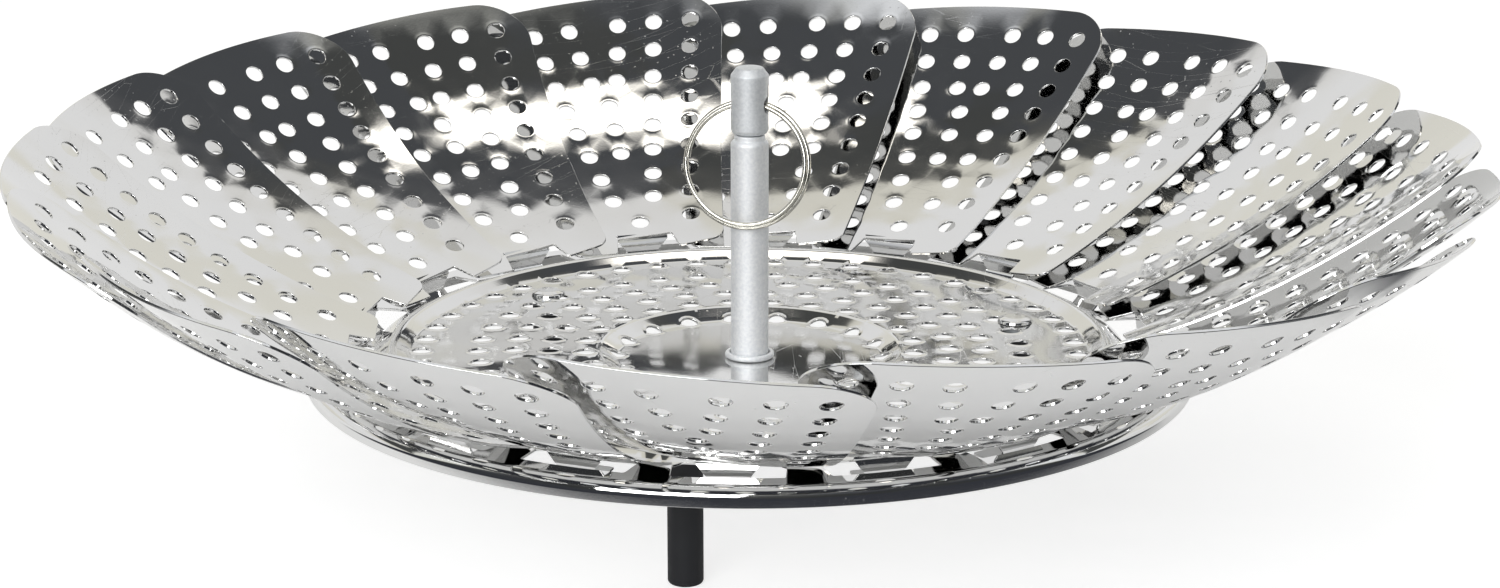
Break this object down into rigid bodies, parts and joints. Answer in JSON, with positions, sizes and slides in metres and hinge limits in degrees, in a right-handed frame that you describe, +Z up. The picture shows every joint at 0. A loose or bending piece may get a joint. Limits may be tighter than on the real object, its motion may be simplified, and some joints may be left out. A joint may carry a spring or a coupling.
{
  "type": "folding steamer basket",
  "caption": "Perforated steel steamer basket with overlapping hinged petals round a slotted base on short legs, and a centre post with a pull ring.",
  "frame": {"origin": "on the axis of the centre post, level with the soles of the three feet", "axes": "+Z up along the post; -Y toward the front of the pictured view; +X to its right"},
  "size_m": [0.2604, 0.261, 0.0785],
  "materials": {
    "mirror_steel": "mirror polished stainless steel sheet",
    "satin_aluminium": "satin, fine tumbled grain",
    "plain_steel": "bright plated",
    "ring_wire": "drawn spring wire, bright",
    "black_silicone": "smooth semi-matt silicone"
  },
  "bodies": {
    "base": {"base_plate": "mirror_steel", "post_tube": "satin_aluminium", "post_collar": "satin_aluminium", "post_screw": "plain_steel", "post_washer": "plain_steel", "leg_rivet_1": "mirror_steel", "leg_post_1": "plain_steel", "leg_sleeve_1": "black_silicone", "leg_rivet_2": "mirror_steel", "leg_post_2": "plain_steel", "leg_sleeve_2": "black_silicone", "leg_rivet_3": "mirror_steel", "leg_post_3": "plain_steel", "leg_sleeve_3": "black_silicone"},
    "petal_01": {"petal_01": "mirror_steel"},
    "petal_02": {"petal_02": "mirror_steel"},
    "petal_03": {"petal_03": "mirror_steel"},
    "petal_04": {"petal_04": "mirror_steel"},
    "petal_05": {"petal_05": "mirror_steel"},
    "petal_06": {"petal_06": "mirror_steel"},
    "petal_07": {"petal_07": "mirror_steel"},
    "petal_08": {"petal_08": "mirror_steel"},
    "petal_09": {"petal_09": "mirror_steel"},
    "petal_10": {"petal_10": "mirror_steel"},
    "petal_11": {"petal_11": "mirror_steel"},
    "petal_12": {"petal_12": "mirror_steel"},
    "petal_13": {"petal_13": "mirror_steel"},
    "petal_14": {"petal_14": "mirror_steel"},
    "petal_15": {"petal_15": "mirror_steel"},
    "petal_16": {"petal_16": "mirror_steel"},
    "petal_17": {"petal_17": "mirror_steel"},
    "petal_18": {"petal_18": "mirror_steel"},
    "handle": {"handle_rod": "satin_aluminium", "handle_head": "satin_aluminium"},
    "ring": {"pull_ring": "ring_wire"}
  },
  "joints": [
    {"name": "petal_01_fold", "type": "hinge", "parent": "base", "child": "petal_01", "pos_m": [0.00321, 0.06802, 0.0276], "axis": [0.9938, -0.1027, -0.0419], "range_deg": [0, 60.5]},
    {"name": "petal_02_fold", "type": "hinge", "parent": "base", "child": "petal_02", "pos_m": [-0.02025, 0.06502, 0.0276], "axis": [0.969, 0.2434, -0.0419], "range_deg": [0, 60.5]},
    {"name": "petal_03_fold", "type": "hinge", "parent": "base", "child": "petal_03", "pos_m": [-0.04127, 0.05417, 0.0276], "axis": [0.8273, 0.5601, -0.0419], "range_deg": [0, 60.5]},
    {"name": "petal_04_fold", "type": "hinge", "parent": "base", "child": "petal_04", "pos_m": [-0.05731, 0.03679, 0.0276], "axis": [0.5859, 0.8093, -0.0419], "range_deg": [0, 60.5]},
    {"name": "petal_05_fold", "type": "hinge", "parent": "base", "child": "petal_05", "pos_m": [-0.06643, 0.01497, 0.0276], "axis": [0.2737, 0.9609, -0.0419], "range_deg": [0, 60.5]},
    {"name": "petal_06_fold", "type": "hinge", "parent": "base", "child": "petal_06", "pos_m": [-0.06755, -0.00865, 0.0276], "axis": [-0.0714, 0.9966, -0.0419], "range_deg": [0, 60.5]},
    {"name": "petal_07_fold", "type": "hinge", "parent": "base", "child": "petal_07", "pos_m": [-0.06051, -0.03123, 0.0276], "axis": [-0.408, 0.912, -0.0419], "range_deg": [0, 60.5]},
    {"name": "petal_08_fold", "type": "hinge", "parent": "base", "child": "petal_08", "pos_m": [-0.04618, -0.05005, 0.0276], "axis": [-0.6953, 0.7175, -0.0419], "range_deg": [0, 60.5]},
    {"name": "petal_09_fold", "type": "hinge", "parent": "base", "child": "petal_09", "pos_m": [-0.02628, -0.06283, 0.0276], "axis": [-0.8988, 0.4364, -0.0419], "range_deg": [0, 60.5]},
    {"name": "petal_10_fold", "type": "hinge", "parent": "base", "child": "petal_10", "pos_m": [-0.00321, -0.06802, 0.0276], "axis": [-0.9938, 0.1027, -0.0419], "range_deg": [0, 60.5]},
    {"name": "petal_11_fold", "type": "hinge", "parent": "base", "child": "petal_11", "pos_m": [0.02025, -0.06502, 0.0276], "axis": [-0.969, -0.2434, -0.0419], "range_deg": [0, 60.5]},
    {"name": "petal_12_fold", "type": "hinge", "parent": "base", "child": "petal_12", "pos_m": [0.04127, -0.05417, 0.0276], "axis": [-0.8273, -0.5601, -0.0419], "range_deg": [0, 60.5]},
    {"name": "petal_13_fold", "type": "hinge", "parent": "base", "child": "petal_13", "pos_m": [0.05731, -0.03679, 0.0276], "axis": [-0.5859, -0.8093, -0.0419], "range_deg": [0, 60.5]},
    {"name": "petal_14_fold", "type": "hinge", "parent": "base", "child": "petal_14", "pos_m": [0.06643, -0.01497, 0.0276], "axis": [-0.2737, -0.9609, -0.0419], "range_deg": [0, 60.5]},
    {"name": "petal_15_fold", "type": "hinge", "parent": "base", "child": "petal_15", "pos_m": [0.06755, 0.00865, 0.0276], "axis": [0.0714, -0.9966, -0.0419], "range_deg": [0, 60.5]},
    {"name": "petal_16_fold", "type": "hinge", "parent": "base", "child": "petal_16", "pos_m": [0.06051, 0.03123, 0.0276], "axis": [0.408, -0.912, -0.0419], "range_deg": [0, 60.5]},
    {"name": "petal_17_fold", "type": "hinge", "parent": "base", "child": "petal_17", "pos_m": [0.04618, 0.05005, 0.0276], "axis": [0.6953, -0.7175, -0.0419], "range_deg": [0, 60.5]},
    {"name": "petal_18_fold", "type": "hinge", "parent": "base", "child": "petal_18", "pos_m": [0.02628, 0.06283, 0.0276], "axis": [0.8988, -0.4364, -0.0419], "range_deg": [0, 60.5]},
    {"name": "handle_slide", "type": "slide", "parent": "base", "child": "handle", "axis": [0, 0, 1], "range_m": [0, 0.027]},
    {"name": "ring_swing", "type": "hinge", "parent": "handle", "child": "ring", "pos_m": [0, 0, 0.0715], "axis": [-0.9703, 0.2419, 0], "range_deg": [0, 334]}
  ],
  "couplings": [
    {"joint": "petal_02_fold", "follows": "petal_01_fold", "ratio": 1},
    {"joint": "petal_03_fold", "follows": "petal_01_fold", "ratio": 1},
    {"joint": "petal_04_fold", "follows": "petal_01_fold", "ratio": 1},
    {"joint": "petal_05_fold", "follows": "petal_01_fold", "ratio": 1},
    {"joint": "petal_06_fold", "follows": "petal_01_fold", "ratio": 1},
    {"joint": "petal_07_fold", "follows": "petal_01_fold", "ratio": 1},
    {"joint": "petal_08_fold", "follows": "petal_01_fold", "ratio": 1},
    {"joint": "petal_09_fold", "follows": "petal_01_fold", "ratio": 1},
    {"joint": "petal_10_fold", "follows": "petal_01_fold", "ratio": 1},
    {"joint": "petal_11_fold", "follows": "petal_01_fold", "ratio": 1},
    {"joint": "petal_12_fold", "follows": "petal_01_fold", "ratio": 1},
    {"joint": "petal_13_fold", "follows": "petal_01_fold", "ratio": 1},
    {"joint": "petal_14_fold", "follows": "petal_01_fold", "ratio": 1},
    {"joint": "petal_15_fold", "follows": "petal_01_fold", "ratio": 1},
    {"joint": "petal_16_fold", "follows": "petal_01_fold", "ratio": 1},
    {"joint": "petal_17_fold", "follows": "petal_01_fold", "ratio": 1},
    {"joint": "petal_18_fold", "follows": "petal_01_fold", "ratio": 1}
  ]
}
